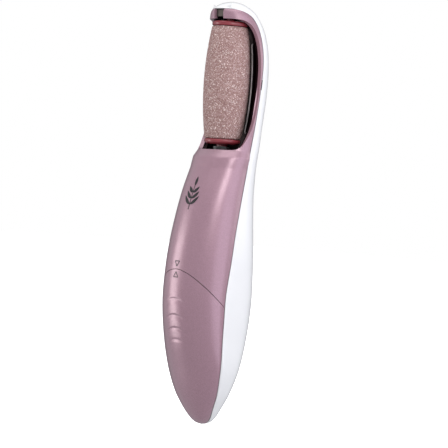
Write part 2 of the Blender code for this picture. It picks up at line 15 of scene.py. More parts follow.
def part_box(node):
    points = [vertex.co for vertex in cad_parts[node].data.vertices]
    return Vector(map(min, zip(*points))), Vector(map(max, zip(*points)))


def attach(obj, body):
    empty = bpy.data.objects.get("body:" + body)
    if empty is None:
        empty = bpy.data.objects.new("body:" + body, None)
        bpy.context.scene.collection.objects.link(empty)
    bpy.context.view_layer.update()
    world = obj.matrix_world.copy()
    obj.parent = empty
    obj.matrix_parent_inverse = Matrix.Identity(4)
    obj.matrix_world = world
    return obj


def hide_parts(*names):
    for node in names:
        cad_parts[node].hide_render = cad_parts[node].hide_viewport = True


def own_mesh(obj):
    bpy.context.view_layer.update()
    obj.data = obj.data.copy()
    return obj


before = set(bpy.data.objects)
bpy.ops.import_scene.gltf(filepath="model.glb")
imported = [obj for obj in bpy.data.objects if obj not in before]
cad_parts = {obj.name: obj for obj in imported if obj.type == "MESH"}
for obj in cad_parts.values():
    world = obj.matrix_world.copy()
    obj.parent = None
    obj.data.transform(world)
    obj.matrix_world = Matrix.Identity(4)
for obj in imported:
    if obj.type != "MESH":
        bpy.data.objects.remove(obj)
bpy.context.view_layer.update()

MM = 0.001
TINY = 1e-6
GRIP_HEIGHT = 60.0

# The object's two sides, with the sign of X on each.
HANDS = {"left": -1, "right": 1}

# The whole outer form, as sections stacked upwards: height, front y, back y, half width.
STATIONS = (
    (0.0, -0.6, -0.6, 0.0),
    (0.8, -3.3, 3.0, 2.9),
    (3.0, -5.8, 5.0, 5.6),
    (8.0, -9.2, 6.9, 9.2),
    (15.0, -12.6, 9.2, 13.2),
    (26.0, -16.4, 12.5, 16.6),
    (40.0, -20.8, 16.2, 17.4),
    (55.0, -23.4, 18.2, 17.6),
    (68.0, -23.3, 18.1, 17.4),
    (80.0, -22.1, 17.3, 17.0),
    (93.0, -19.5, 16.0, 16.3),
    (105.0, -16.2, 15.1, 15.6),
    (115.0, -12.3, 15.1, 15.1),
    (121.0, -9.7, 15.4, 14.9),
    (126.0, -6.8, 15.8, 14.8),
    (136.0, -6.0, 16.7, 14.9),
    (150.0, -6.0, 18.4, 15.0),
    (163.0, -6.0, 18.7, 14.9),
    (172.0, -6.4, 17.8, 14.2),
    (179.0, -7.2, 16.1, 12.9),
    (184.0, -7.9, 13.6, 11.4),
    (187.5, -8.2, 11.0, 9.7),
    (190.0, -6.6, 8.3, 6.8),
    (191.5, -3.6, 5.4, 4.0),
    (192.3, 0.8, 0.8, 0.0),
)
SECTION_POWER = 2.3

# The line between the rear shell and the front pieces, seen from the side: y, height.
SEAM = (
    (0.8, -3.0), (0.0, 1.5), (-2.4, 7.0), (-4.6, 15.0), (-6.4, 24.0), (-7.4, 36.0),
    (-7.8, 48.0), (-7.7, 60.0), (-5.8, 73.0), (-3.8, 86.0), (-1.6, 97.0), (0.5, 107.0),
    (2.6, 117.0), (4.3, 127.0), (5.7, 136.0), (7.0, 146.0), (8.1, 156.0), (8.5, 165.0),
    (8.0, 173.0), (6.5, 180.0), (4.0, 184.6), (-0.4, 187.3), (-5.0, 188.4), (-12.0, 188.6),
)
SEAM_GAP = 0.12
PRY_NOTCH = (153.0, 157.6)
PRY_DEPTH = 0.55

# The edge of the roller's window, seen from the side: y, height.
WINDOW_SILL = 124.8
WINDOW_TOP = 184.0
WINDOW = (
    (-5.2, WINDOW_SILL), (-3.2, 125.2), (-1.6, 126.2), (-0.2, 127.8), (1.3, 130.3),
    (3.0, 133.8), (4.3, 137.5), (5.3, 142.0), (6.2, 149.0), (6.6, 156.0), (6.6, 163.0),
    (6.0, 170.0), (4.8, 176.0), (2.6, 180.6), (-1.0, 183.3), (-5.0, WINDOW_TOP),
)
PIN_SLOT_HALF = 2.87
PIN_SLOT_BACK = 3.2

# The chamfered shoulder below the window.
SHOULDER = (116.5, 121.5, WINDOW_SILL)
SHOULDER_RISE = 0.55

# The arched joint between the battery cover and the front shell, seen from the front.
COVER_APEX = 70.0
COVER_FALL = 9.96
COVER_SIDE = 17.6
COVER_POWER = 1.57
COVER_GAP = 0.26
ARCH_ZONE_TOP = 92.0

# Scooped thumb ridges on the cover: height on the centre line, depth, and run-out below.
RIDGES = ((57.2, 0.26, 2.8), (49.8, 0.28, 2.4), (44.0, 0.24, 1.5), (38.9, 0.10, 1.4))
RIDGE_STEP = 0.8
RIDGE_BOW = 0.055
RIDGE_HALF_WIDTH = 5.6

SHELL_WALL = 2.0
FRONT_WALL = 1.8
FRONT_TOP = 188.8
CRADLE_INSET = 2.4
CRADLE_WALL = 1.2
CRADLE_TOP = 183.2
CRADLE_FLOOR = (122.9, 124.5)
EDGE_ROUND = 0.22

# How softly the shells round over towards the seam, and the heights where that fades out.
SEAM_ROUND = 0.9
REAR_SEAM_ROUND = 0.5
ROUND_FADE = (184.5, 188.0)

# Columns of the front pieces on the +X side: over the pin slot, to the window, to the seam.
SLOT_COLUMNS = 4
FRONT_COLUMNS = 22
STRIP_COLUMNS = 10
HALF_COLUMNS = SLOT_COLUMNS + FRONT_COLUMNS + STRIP_COLUMNS
COLUMNS = range(2 * HALF_COLUMNS + 1)

ROLLER_MIDDLE = 155.35
SLEEVE_HALF = 25.45
SLEEVE_END_RADIUS = 8.3
SLEEVE_CROWN = 2.1
SLEEVE_BORE = 6.9
SLEEVE_LOW = ROLLER_MIDDLE - SLEEVE_HALF
SLEEVE_HIGH = ROLLER_MIDDLE + SLEEVE_HALF
PEG_HALF = 1.85
PEG_BOTTOM = 122.6

BUTTON_RISE = 1.9
BUTTON_GRIPS = (108.6, 111.8, 115.0)

# The spring under the drive socket.
SPRING_SPAN = (115.1, 121.1)
SPRING_RADIUS = 4.95
SPRING_TURNS = 3.5
SPRING_WIRE = 0.3


# ---------------------------------------------------------------- outer form

def point(x, y, height):
    """A design point in millimetres, as a place in the row frame in metres."""
    return Vector((x, y, height - GRIP_HEIGHT)) * MM


def spline(points, steps):
    """A smooth curve through points of any dimension, with steps samples to each span."""
    samples = []
    last = len(points) - 1
    for span in range(last):
        before = points[max(span - 1, 0)]
        start, end = points[span], points[span + 1]
        after = points[min(span + 2, last)]
        length = math.dist(start, end)
        lead = length / math.dist(before, end)
        trail = length / math.dist(start, after)
        for step in range(steps):
            t = step / steps
            weights = (
                2 * t**3 - 3 * t**2 + 1,
                t**3 - 2 * t**2 + t,
                3 * t**2 - 2 * t**3,
                t**3 - t**2,
            )
            samples.append(tuple(
                weights[0] * a + weights[1] * lead * (b - p)
                + weights[2] * b + weights[3] * trail * (n - a)
                for p, a, b, n in zip(before, start, end, after)
            ))
    samples.append(tuple(points[-1]))
    return samples


def round_end(pole, first, steps=10):
    """Rows from a pole to the first full section, spaced so that the end is round."""
    rows = []
    for step in range(steps + 1):
        t = step / steps
        height = pole[0] + (first[0] - pole[0]) * t * t
        rows.append((height, *(a + (b - a) * t for a, b in zip(pole[1:], first[1:]))))
    return rows


def form_table():
    """Closely spaced rows of the outer form, as columns of height, front, back and half."""
    middle = spline(STATIONS, 10)
    low, high = STATIONS[1][0], STATIONS[-2][0]
    rows = round_end(STATIONS[0], STATIONS[1])
    rows += [row for row in middle if low < row[0] < high]
    rows += reversed(round_end(STATIONS[-1], STATIONS[-2]))
    return np.array(rows).T


FORM = form_table()


def form(height):
    """Front y, back y and half width of the outer form at a height."""
    return [float(np.interp(height, FORM[0], column)) for column in FORM[1:]]


def surface(height, turn, inset=0.0):
    """The outer surface at a height. turn is 0 at the front and grows towards +X."""
    front, back, half = form(height)
    front, back, half = front + inset, back - inset, half - inset
    power = 2 / SECTION_POWER
    sine, cosine = math.sin(turn), math.cos(turn)
    x = half * math.copysign(abs(sine) ** power, sine)
    y = (front + back) / 2 - (back - front) / 2 * math.copysign(abs(cosine) ** power, cosine)
    return x, y


def turn_at_y(height, y):
    """How far round the +X side the surface reaches the depth y."""
    front, back, _ = form(height)
    if back - front < TINY:
        return math.pi
    across = min(max((2 * y - front - back) / (back - front), -1.0), 1.0)
    return math.acos(-math.copysign(abs(across) ** (SECTION_POWER / 2), across))


def turn_at_x(height, x):
    """How far round from the front centre line the surface reaches the width x."""
    half = max(form(height)[2], TINY)
    return math.asin(min(abs(x) / half, 1.0) ** (SECTION_POWER / 2))


def side_line(points, steps, shift=0.0):
    """A line seen from the side, moved sideways by shift, as arrays of height and y."""
    path = spline(points, steps)
    moved = []
    for index, (y, height) in enumerate(path):
        behind = path[max(index - 1, 0)]
        ahead = path[min(index + 1, len(path) - 1)]
        dy, dh = ahead[0] - behind[0], ahead[1] - behind[1]
        length = math.hypot(dy, dh)
        moved.append((height - dy / length * shift, y + dh / length * shift))
    return np.array(moved).T


FRONT_SEAM = side_line(SEAM, 6, -SEAM_GAP / 2)
REAR_SEAM = side_line(SEAM, 6, SEAM_GAP / 2)
WINDOW_LINE = side_line(WINDOW, 5)


def pry_notch(height):
    """The short slot in the seam where the head's shells can be parted."""
    low, high = PRY_NOTCH
    ramp = 0.35
    share = min((height - low) / ramp, (high - height) / ramp, 1.0)
    return PRY_DEPTH * max(share, 0.0)


def y_on(line, height):
    """How far back a side line lies at a height."""
    return float(np.interp(height, *line))


def front_seam_turn(height):
    return turn_at_y(height, y_on(FRONT_SEAM, height) - pry_notch(height))


def rear_seam_turn(height):
    return turn_at_y(height, y_on(REAR_SEAM, height))


def cover_edge(x):
    """The arch falls away with the turn round the body, so that it is nearly straight."""
    turn = math.asin(min(abs(x) / COVER_SIDE, 1.0) ** (SECTION_POWER / 2))
    return COVER_APEX - COVER_FALL * turn**COVER_POWER


def shoulder_rise(_x, height):
    """How far the shoulder's crease stands out of the plain form."""
    low, crease, high = SHOULDER
    return SHOULDER_RISE * float(np.interp(height, (low, crease, high), (0.0, 1.0, 0.0)))


def smooth_step(t):
    """Rises smoothly from 0 to 1 as t does, and stays level outside that."""
    t = min(max(t, 0.0), 1.0)
    return t * t * (3 - 2 * t)


def ridge_rise(x, height):
    """Each ridge is a short step inwards, and a longer slope out again below it."""
    across = math.exp(-(abs(x) / RIDGE_HALF_WIDTH) ** 3)
    rise = 0.0
    for centre, depth, run in RIDGES:
        below = centre - RIDGE_BOW * x * x - height
        rise -= depth * (smooth_step(below / RIDGE_STEP + 0.5)
                         - smooth_step((below - RIDGE_STEP / 2) / run))
    return rise * across


# ---------------------------------------------------------------- mesh helpers

def thicken(bm, wall):
    """Turn an open sheet into a closed wall that lies behind it, wall millimetres thick."""
    bm.normal_update()
    sheet = list(bm.faces)
    rim = [edge.link_loops[0] for edge in bm.edges if len(edge.link_faces) == 1]
    rim = [(loop.vert, loop.link_loop_next.vert) for loop in rim]
    inner = {}
    for vertex in list(bm.verts):
        inner[vertex] = bm.verts.new(vertex.co - vertex.normal * wall * MM)
    for face in sheet:
        bm.faces.new([inner[vertex] for vertex in reversed(face.verts)])
    for start, end in rim:
        bm.faces.new((end, start, inner[start], inner[end]))


def add_to_scene(name, data):
    made = bpy.data.objects.new(name, data)
    bpy.context.scene.collection.objects.link(made)
    return made


def written(name, bm):
    """Write a bmesh to a new object in the scene."""
    mesh = bpy.data.meshes.new(name)
    bm.to_mesh(mesh)
    bm.free()
    return add_to_scene(name, mesh)


def linked(name, bm, look, body, cad=(), sharp_angle=40, wall=0.0):
    """Write a bmesh to a piece that rides on a body and may stand for CAD nodes. An open
    sheet is given a wall."""
    bmesh.ops.remove_doubles(bm, verts=bm.verts, dist=0.002 * MM)
    bmesh.ops.dissolve_degenerate(bm, edges=bm.edges, dist=0.001 * MM)
    if wall:
        thicken(bm, wall)
    bmesh.ops.recalc_face_normals(bm, faces=bm.faces)
    piece = written(name, bm)
    piece.data.shade_smooth()
    piece.data.set_sharp_from_angle(angle=math.radians(sharp_angle))
    piece.data.materials.append(look)
    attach(piece, body)
    if cad:
        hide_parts(*cad)
    return piece


def bevel(piece, width, segments=3, angle=50):
    """Round off a piece's sharp edges."""
    edge = piece.modifiers.new("rounded_edges", "BEVEL")
    edge.width = width * MM
    edge.segments = segments
    edge.limit_method = "ANGLE"
    edge.angle_limit = math.radians(angle)


def grid_faces(bm, rows, keep=None, closed=False):
    """Join rows of vertices with quads, leaving out those that keep() says no to."""
    columns = len(rows[0])
    for row in range(len(rows) - 1):
        for column in range(columns if closed else columns - 1):
            if keep and not keep(row, column):
                continue
            after = (column + 1) % columns
            low, high = rows[row], rows[row + 1]
            bm.faces.new((low[column], low[after], high[after], high[column]))


def loft(bm, rows):
    """Skin closed rows of vertices from end to end, and cap both ends."""
    grid_faces(bm, rows, closed=True)
    bm.faces.new(rows[0])
    bm.faces.new(rows[-1])


def drop_loose(bm):
    loose = [vertex for vertex in bm.verts if not vertex.link_faces]
    bmesh.ops.delete(bm, geom=loose, context="VERTS")


def between(start, end, count):
    """count + 1 evenly spaced values, both ends included."""
    return [start + (end - start) * step / count for step in range(count + 1)]


def row_heights(low, high, spacing, *lines):
    """Evenly spaced heights, and those where the given lines have their samples."""
    closest = 0.06
    heights = set(between(low, high, max(1, round((high - low) / spacing))))
    for line in lines:
        heights.update(float(height) for height in line if low < height < high)
    kept = []
    for height in sorted(heights):
        if not kept or height - kept[-1] > closest or height == high:
            kept.append(height)
    return kept


def ring(bm, reaches, height):
    """A level ring of vertices round the roller's axis, one for each reach."""
    row = []
    for index, reach in enumerate(reaches):
        angle = math.tau * index / len(reaches)
        row.append(bm.verts.new(point(reach * math.cos(angle), reach * math.sin(angle), height)))
    return row


def turned(name, profile, look, body, cad, sides=96):
    """Turn a closed profile of (radius, height) about the roller's axis."""
    bm = bmesh.new()
    rows = [ring(bm, [radius] * sides, height) for radius, height in profile]
    grid_faces(bm, rows + rows[:1], closed=True)
    linked(name, bm, look, body, cad)


def rounded(profile, radius, steps=4):
    """Round the inner corners of an open profile of (radius, height) points."""
    share = 0.45
    smooth = [profile[0]]
    for before, corner, after in zip(profile, profile[1:], profile[2:]):
        a, c, b = Vector(before), Vector(corner), Vector(after)
        reach = min(radius, (a - c).length * share, (b - c).length * share)
        start = c + (a - c).normalized() * reach
        end = c + (b - c).normalized() * reach
        for t in between(0.0, 1.0, steps):
            smooth.append(tuple(start * (1 - t) ** 2 + c * (2 * t * (1 - t)) + end * t * t))
    smooth.append(profile[-1])
    return smooth


# ---------------------------------------------------------------- shells

def front_turns(height):
    """Column turns of the front pieces on the +X side: centre, slot, window edge, seam.
    Below the arm the slot's columns narrow with the form, to leave the others room."""
    seam = front_seam_turn(height)
    most = 1.0 if height > WINDOW_TOP else 0.6
    slot = min(turn_at_x(height, PIN_SLOT_HALF), seam * most)
    level = min(max(height, WINDOW_SILL), WINDOW_TOP)
    share = turn_at_y(level, y_on(WINDOW_LINE, level)) / front_seam_turn(level)
    window = max(seam * share, slot)
    side = between(0.0, slot, SLOT_COLUMNS)[:-1]
    side += between(slot, window, FRONT_COLUMNS)[:-1]
    side += between(window, seam, STRIP_COLUMNS)
    return side


def column_turn(height, column):
    """The turn of one column of the front pieces, counted from the -X seam."""
    side = front_turns(height)
    across = column - HALF_COLUMNS
    return math.copysign(side[abs(across)], across)


def arch_height(column):
    """Where a column of the front pieces meets the arched joint of the battery cover."""
    halvings = 18
    low, high = 36.0, COVER_APEX + 0.5
    for _ in range(halvings):
        middle = (low + high) / 2
        x = surface(middle, column_turn(middle, column))[0]
        if middle < cover_edge(x):
            low = middle
        else:
            high = middle
    return (low + high) / 2


def arch_line(side):
    """The heights of the arched joint's upper or lower edge, one for each column."""
    heights = [arch_height(column) for column in COLUMNS]
    places = [
        Vector(surface(height, column_turn(height, column)))
        for column, height in enumerate(heights)
    ]
    last = len(heights) - 1
    moved = []
    for column, height in enumerate(heights):
        before, after = max(column - 1, 0), min(column + 1, last)
        run = (places[after] - places[before]).length
        lean = math.hypot(1.0, (heights[after] - heights[before]) / run)
        moved.append(height + side * COVER_GAP / 2 * lean)
    return moved


def seam_drop(distance, radius):
    """How far a shell's surface dips as it rounds over towards the seam."""
    return radius / 2 * max(1 - distance / radius, 0.0) ** 2


def shell_vertex(bm, height, turn, seam_turn, radius, rise=0.0):
    """A point of a shell's outer surface, rounded over near the seam."""
    least, sharpest = 0.5, 0.01
    x, y = surface(height, turn)
    front, back, half = form(height)
    wide, deep = max(half, least), max((back - front) / 2, least)
    outward = Vector((x / wide**2, (y - (front + back) / 2) / deep**2)).normalized()
    edge = surface(height, math.copysign(seam_turn, x))
    radius = min(radius, half) * float(np.interp(height, ROUND_FADE, (1.0, 0.0)))
    step = rise - seam_drop(math.dist((x, y), edge), max(radius, sharpest))
    return bm.verts.new(point(x + outward.x * step, y + outward.y * step, height))


def front_vertex(bm, height, column, rise=None):
    """A point of the front pieces. rise(x, height) is how far it stands out of the form."""
    turn = column_turn(height, column)
    step = rise(surface(height, turn)[0], height) if rise else 0.0
    plain_seam = turn_at_y(height, y_on(FRONT_SEAM, height))
    return shell_vertex(bm, height, turn, plain_seam, SEAM_ROUND, step)


def front_shell_skin(look):
    """The mauve front shell: body, shoulder, the strips beside the window, and the arm."""
    arches = arch_line(1)
    heights = row_heights(ARCH_ZONE_TOP, FRONT_TOP, 1.0, WINDOW_LINE[0], FRONT_SEAM[0],
                          SHOULDER, PRY_NOTCH)
    zone_rows = 34
    bm = bmesh.new()
    rows = []
    for t in between(0.0, 1.0, zone_rows)[:-1]:
        rows.append([
            front_vertex(bm, arch + (ARCH_ZONE_TOP - arch) * t, column)
            for column, arch in zip(COLUMNS, arches)
        ])
    for height in heights:
        rows.append([front_vertex(bm, height, column, shoulder_rise) for column in COLUMNS])

    def keep(row, column):
        """Leave out the window, and above it the slot and what lies past the seam."""
        if row < zone_rows:
            return True
        below, above = heights[row - zone_rows], heights[row - zone_rows + 1]
        middle = (below + above) / 2
        place = abs(column + 0.5 - HALF_COLUMNS)
        if middle < WINDOW_SILL:
            return True
        if front_seam_turn(above) <= turn_at_x(above, PIN_SLOT_HALF):
            return False
        if middle < WINDOW_TOP:
            return place > SLOT_COLUMNS + FRONT_COLUMNS
        return place > SLOT_COLUMNS

    grid_faces(bm, rows, keep)
    drop_loose(bm)
    piece = linked("front_shell_skin", bm, look, "handpiece", ["front_shell"],
                   wall=FRONT_WALL)
    bevel(piece, EDGE_ROUND)


def battery_cover_skin(look):
    """The mauve battery cover with its thumb ridges."""
    arches = arch_line(-1)
    tip, plain = 0.12, 0.3
    tip_rows, other_rows = 14, 220
    bm = bmesh.new()
    rows = []
    for t in between(0.0, tip, tip_rows)[:-1] + between(tip, 1.0, other_rows):
        rise = ridge_rise if t > plain else None
        rows.append([
            front_vertex(bm, arch * t, column, rise) for column, arch in zip(COLUMNS, arches)
        ])
    grid_faces(bm, rows)
    piece = linked("battery_cover_skin", bm, look, "cover", ["battery_cover"],
                   wall=FRONT_WALL)
    bevel(piece, EDGE_ROUND)


def rear_shell_skin(look):
    """The white shell, from seam to seam round the back and over the top."""
    columns = 72
    # The closely spaced rows of the form that make both tips round.
    round_ends = [float(height) for height in (*FORM[0][1:8], *FORM[0][-12:])]
    heights = row_heights(0.0, STATIONS[-1][0], 1.0, REAR_SEAM[0]) + round_ends
    bm = bmesh.new()
    rows = []
    for height in sorted(set(heights)):
        seam = rear_seam_turn(height)
        turns = between(seam, math.tau - seam, columns)
        near_seam = (turns[1] - turns[0]) / 2
        turns = [turns[0], turns[0] + near_seam, *turns[1:-1], turns[-1] - near_seam, turns[-1]]
        rows.append([shell_vertex(bm, height, turn, seam, REAR_SEAM_ROUND) for turn in turns])
    grid_faces(bm, rows)
    piece = linked("rear_shell_skin", bm, look, "handpiece", ["rear_shell"],
                   wall=SHELL_WALL)
    bevel(piece, EDGE_ROUND)


def notch_shade_fill(hand, look):
    """A thin black block that shows in the short slot between the head's shells: painted shade
    that darkens the slot.
    """
    side = HANDS[hand]
    sunk, wall, margin, seam_clearance = 0.08, 1.0, 0.03, 0.002
    bm = bmesh.new()
    rows = []
    for height in between(PRY_NOTCH[0] + margin, PRY_NOTCH[1] - margin, 10):
        front = turn_at_y(height, y_on(FRONT_SEAM, height) - PRY_DEPTH + margin)
        rear = rear_seam_turn(height) - seam_clearance
        row = []
        for turn in between(front, rear, 3):
            x, y = surface(height, turn, sunk)
            row.append(bm.verts.new(point(side * x, y, height)))
        rows.append(row)
    grid_faces(bm, rows)
    linked(f"notch_shade_fill_{hand}", bm, look, "handpiece", wall=wall * side)


def boxed(name, x_range, y_range, z_range):
    """A block between two corners of the design."""
    bm = bmesh.new()
    bmesh.ops.create_cube(bm, size=1.0)
    low = point(x_range[0], y_range[0], z_range[0])
    high = point(x_range[1], y_range[1], z_range[1])
    bmesh.ops.scale(bm, vec=high - low, verts=bm.verts)
    bmesh.ops.translate(bm, vec=(low + high) / 2, verts=bm.verts)
    return written(name, bm)


def arm_block(look):
    """The solid inside of the arm over the roller, open in the middle for the top pin."""
    low, high = WINDOW_TOP + 0.03, 188.2
    inset, behind_seam, beyond = 1.5, 0.4, 40.0
    bm = bmesh.new()
    rows = []
    for height in between(low, high, 8):
        seam = y_on(FRONT_SEAM, height) - behind_seam
        row = []
        for turn in between(0.0, math.tau, 64)[:-1]:
            x, y = surface(height, turn, inset)
            row.append(bm.verts.new(point(x, min(y, seam), height)))
        rows.append(row)
    loft(bm, rows)
    piece = linked("arm_block", bm, look, "handpiece", sharp_angle=30)
    slot = boxed("pin_slot", (-PIN_SLOT_HALF, PIN_SLOT_HALF), (-beyond, PIN_SLOT_BACK),
                 (low - beyond, high + beyond))
    cut = piece.modifiers.new("pin_slot", "BOOLEAN")
    cut.operation = "DIFFERENCE"
    cut.solver = "EXACT"
    cut.object = slot
    bpy.context.view_layer.update()
    finished = piece.evaluated_get(bpy.context.evaluated_depsgraph_get())
    solid = bpy.data.meshes.new_from_object(finished)
    piece.modifiers.clear()
    piece.data = solid
    bpy.data.objects.remove(slot)
    bevel(piece, 0.15, 2)


# ---------------------------------------------------------------- roller, cradle, button, spring

def sleeve_radius(height):
    """The barrel shape of the roller."""
    along = (height - ROLLER_MIDDLE) / SLEEVE_HALF
    return SLEEVE_END_RADIUS + SLEEVE_CROWN * (1 - along * along)


def grit_sleeve(look):
    """The mineral sleeve, its surface broken up into coarse grains."""
    corner, lead_in, recess, grain = 0.45, 0.1, 0.12, 0.09
    sides = 220
    random = np.random.default_rng(7)
    low_end = (SLEEVE_END_RADIUS - corner, SLEEVE_LOW)
    high_end = (SLEEVE_END_RADIUS - corner, SLEEVE_HIGH)
    bore = [(SLEEVE_BORE, SLEEVE_HIGH - lead_in), (SLEEVE_BORE, SLEEVE_LOW + lead_in)]
    barrel = [
        (sleeve_radius(height) - recess, height)
        for height in between(SLEEVE_LOW + corner, SLEEVE_HIGH - corner, 150)
    ]
    bm = bmesh.new()
    rows = []
    for place in (*bore, low_end, *barrel, high_end):
        radius, height = place
        rough = grain if place in barrel else 0.0
        reaches = [radius + rough * float(random.uniform(-1, 1)) for _ in range(sides)]
        rows.append(ring(bm, reaches, height))
    grid_faces(bm, rows + rows[:1], closed=True)
    linked("grit_sleeve", bm, look, "roller", ["abrasive_sleeve"],
           sharp_angle=60)


def roller_ends(look):
    """The two moulded end pieces that hold the sleeve, with the top pin."""
    axis, foot, rim, core = 0.001, 2.6, SLEEVE_END_RADIUS, SLEEVE_BORE - 0.3
    bottom, seat = SLEEVE_LOW - 3.0, SLEEVE_LOW - 0.2
    hollow, hollow_floor, hollow_top = 4.8, 131.0, SLEEVE_HIGH - 0.6
    base = rounded([
        (axis, bottom), (foot, bottom), (foot, bottom + 0.4), (rim - 1.6, bottom + 0.4),
        (rim, bottom + 1.3), (rim, seat), (core, seat), (core, hollow_top),
        (hollow, hollow_top), (hollow, hollow_floor), (axis, hollow_floor),
    ], radius=0.7)
    turned("roller_core_moulding", base, look, "roller", ["roller_core"])
    plug, pin, pin_top = 4.5, 1.9, 186.3
    cap = SLEEVE_HIGH + 0.25
    cap_top = cap + 2.1
    dip, dip_inside, dip_outside = cap + 1.7, 2.4, 3.0
    crown = rounded([
        (axis, cap - 6.0), (plug, cap - 6.0), (plug, cap), (rim, cap), (rim, cap + 1.5),
        (rim - 0.8, cap_top), (dip_outside, cap_top), (dip_outside, dip), (dip_inside, dip),
        (pin, cap_top), (pin, pin_top), (axis, pin_top),
    ], radius=0.6)
    turned("roller_cap_moulding", crown, look, "roller", ["roller_end_cap"])


def drive_peg(look):
    """The square peg under the roller, with chamfered lead-in edges."""
    width = (-PEG_HALF, PEG_HALF)
    top = SLEEVE_LOW - 2.8
    peg = boxed("drive_peg", width, width, (PEG_BOTTOM, top))
    peg.data.materials.append(look)
    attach(peg, "roller")
    bevel(peg, 0.4, segments=2, angle=30)


def guard_rib(hand, web_look, highlight_look):
    """A thin web beside the roller, with a slim grey lip that follows the roller's barrel. The
    lip's light grey is a painted highlight along the web's front edge.
    """
    side = HANDS[hand]
    low, high = 133.0, 174.0
    clearance, wide, lip, root = 0.65, 0.5, 0.45, 0.6
    lean = math.radians(45)
    end_share, tuck = 0.025, 0.5
    web, edge = bmesh.new(), bmesh.new()
    web_rows, edge_rows = [], []
    for t in between(0.0, 1.0, 60):
        height = low + (high - low) * t
        end = 1 - min(t, 1 - t) / end_share
        reach = sleeve_radius(height) + clearance + tuck * max(0.0, end) ** 2
        x, front = reach * math.cos(lean), reach * math.sin(lean)
        back = surface(height, math.pi - turn_at_x(height, x), CRADLE_INSET)[1] - root
        for bm, rows, near, far in (
            (edge, edge_rows, front, front + lip),
            (web, web_rows, front + lip, back),
        ):
            corners = ((x, near), (x + wide, near), (x + wide, far), (x, far))
            rows.append([bm.verts.new(point(side * a, b, height)) for a, b in corners])
    # The grey lip is a painted highlight line; the web is black like the trough.
    for name, bm, rows, look, slot in (
        (f"painted_highlight_lip_{hand}", edge, edge_rows, highlight_look, "grey_plastic"),
        (f"guard_web_{hand}", web, web_rows, web_look, "black_plastic"),
    ):
        loft(bm, rows)
        bevel(linked(name, bm, look, "handpiece"), 0.12, 2)


def cradle_trough(look):
    """The glossy black trough behind the roller."""
    columns, above_sill, behind_window = 56, 0.5, 0.35
    bm = bmesh.new()
    rows = []
    for height in row_heights(CRADLE_FLOOR[0], CRADLE_TOP, 1.5, WINDOW_LINE[0]):
        level = max(height, WINDOW_SILL + above_sill)
        edge = y_on(WINDOW_LINE, level) + behind_window
        start = turn_at_y(height, edge)
        row = []
        for turn in between(start, math.tau - start, columns):
            x, y = surface(height, turn, CRADLE_INSET)
            row.append(bm.verts.new(point(x, max(y, edge), height)))
        rows.append(row)
    grid_faces(bm, rows)
    piece = linked("cradle_trough", bm, look, "handpiece", ["roller_cradle"],
                   wall=CRADLE_WALL)
    bevel(piece, 0.2)


def cradle_floor(look):
    """The plate under the roller, with the hole that its drive comes up through."""
    low, high = CRADLE_FLOOR
    clear = CRADLE_INSET + 1.3
    sides = 72
    hole = 5.9
    bm = bmesh.new()
    rows = []
    for height, inside in ((low, True), (low, False), (high, False), (high, True)):
        row = []
        for step in range(sides):
            angle = math.tau * step / sides
            if inside:
                x, y = hole * math.sin(angle), -hole * math.cos(angle)
            else:
                x, y = surface(low, angle, clear)
            row.append(bm.verts.new(point(x, y, height)))
        rows.append(row)
    grid_faces(bm, rows + rows[:1], closed=True)
    piece = linked("cradle_floor", bm, look, "handpiece", ["roller_cradle"])
    bevel(piece, 0.2, 2)


def button_grips(look):
    """Three raised bars across the power button, for the thumb."""
    proud, buried, tall, half = 0.35, 0.4, 0.9, 3.6
    for number, middle in enumerate(BUTTON_GRIPS, 1):
        bm = bmesh.new()
        rows = []
        for height in between(middle - tall / 2, middle + tall / 2, 4):
            row = []
            for x in between(half, -half, 16):
                turn = math.pi - math.copysign(turn_at_x(height, x), x)
                x_out, y_out = surface(height, turn, -BUTTON_RISE - proud)
                row.append(bm.verts.new(point(x_out, y_out, height)))
            rows.append(row)
        grid_faces(bm, rows)
        piece = linked(f"button_grip_{number}", bm, look, "switch",
                       wall=proud + buried)
        bevel(piece, 0.2)


def socket_coil(look):
    """The spring under the drive socket, built as a fixed coil. The real spring shortens as the
    roller is pushed down.
    """
    low, high = SPRING_SPAN
    sides, stretches = 12, 112
    bm = bmesh.new()
    rows = []
    for t in between(0.0, 1.0, stretches):
        angle = math.tau * SPRING_TURNS * t
        height = low + SPRING_WIRE + (high - low - 2 * SPRING_WIRE) * t
        row = []
        for corner in range(sides):
            turn = math.tau * corner / sides
            reach = SPRING_RADIUS + SPRING_WIRE * math.cos(turn)
            rise = SPRING_WIRE * math.sin(turn)
            place = point(reach * math.cos(angle), reach * math.sin(angle), height + rise)
            row.append(bm.verts.new(place))
        rows.append(row)
    loft(bm, rows)
    piece = linked("socket_coil", bm, look, "handpiece", ["socket_spring"])
    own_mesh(piece)


# ---------------------------------------------------------------- printed marks

def ribbon(bm, line, width):
    """Lay a ribbon along a line of (x, height) points on the front surface."""
    lift = 0.035
    left, right = [], []
    for index, place in enumerate(line):
        here = Vector(place)
        ahead = Vector(line[min(index + 1, len(line) - 1)]) - Vector(line[max(index - 1, 0)])
        ahead.normalize()
        sideways = Vector((-ahead.y, ahead.x)) * width(index / (len(line) - 1)) / 2
        for row, spot in ((left, here + sideways), (right, here - sideways)):
            x, y = surface(spot.y, turn_at_x(spot.y, spot.x))
            row.append(bm.verts.new(point(math.copysign(x, spot.x), y - lift, spot.y)))
    grid_faces(bm, [left, right])


def straight(start, end, steps=8):
    return [tuple(Vector(start).lerp(Vector(end), t)) for t in between(0.0, 1.0, steps)]


def printed(name, lines, look, body):
    """A mark made of ribbons, each a line with its width as a function of the way along."""
    bm = bmesh.new()
    for line, width in lines:
        ribbon(bm, line, width)
    linked(name, bm, look, body, wall=0.03)


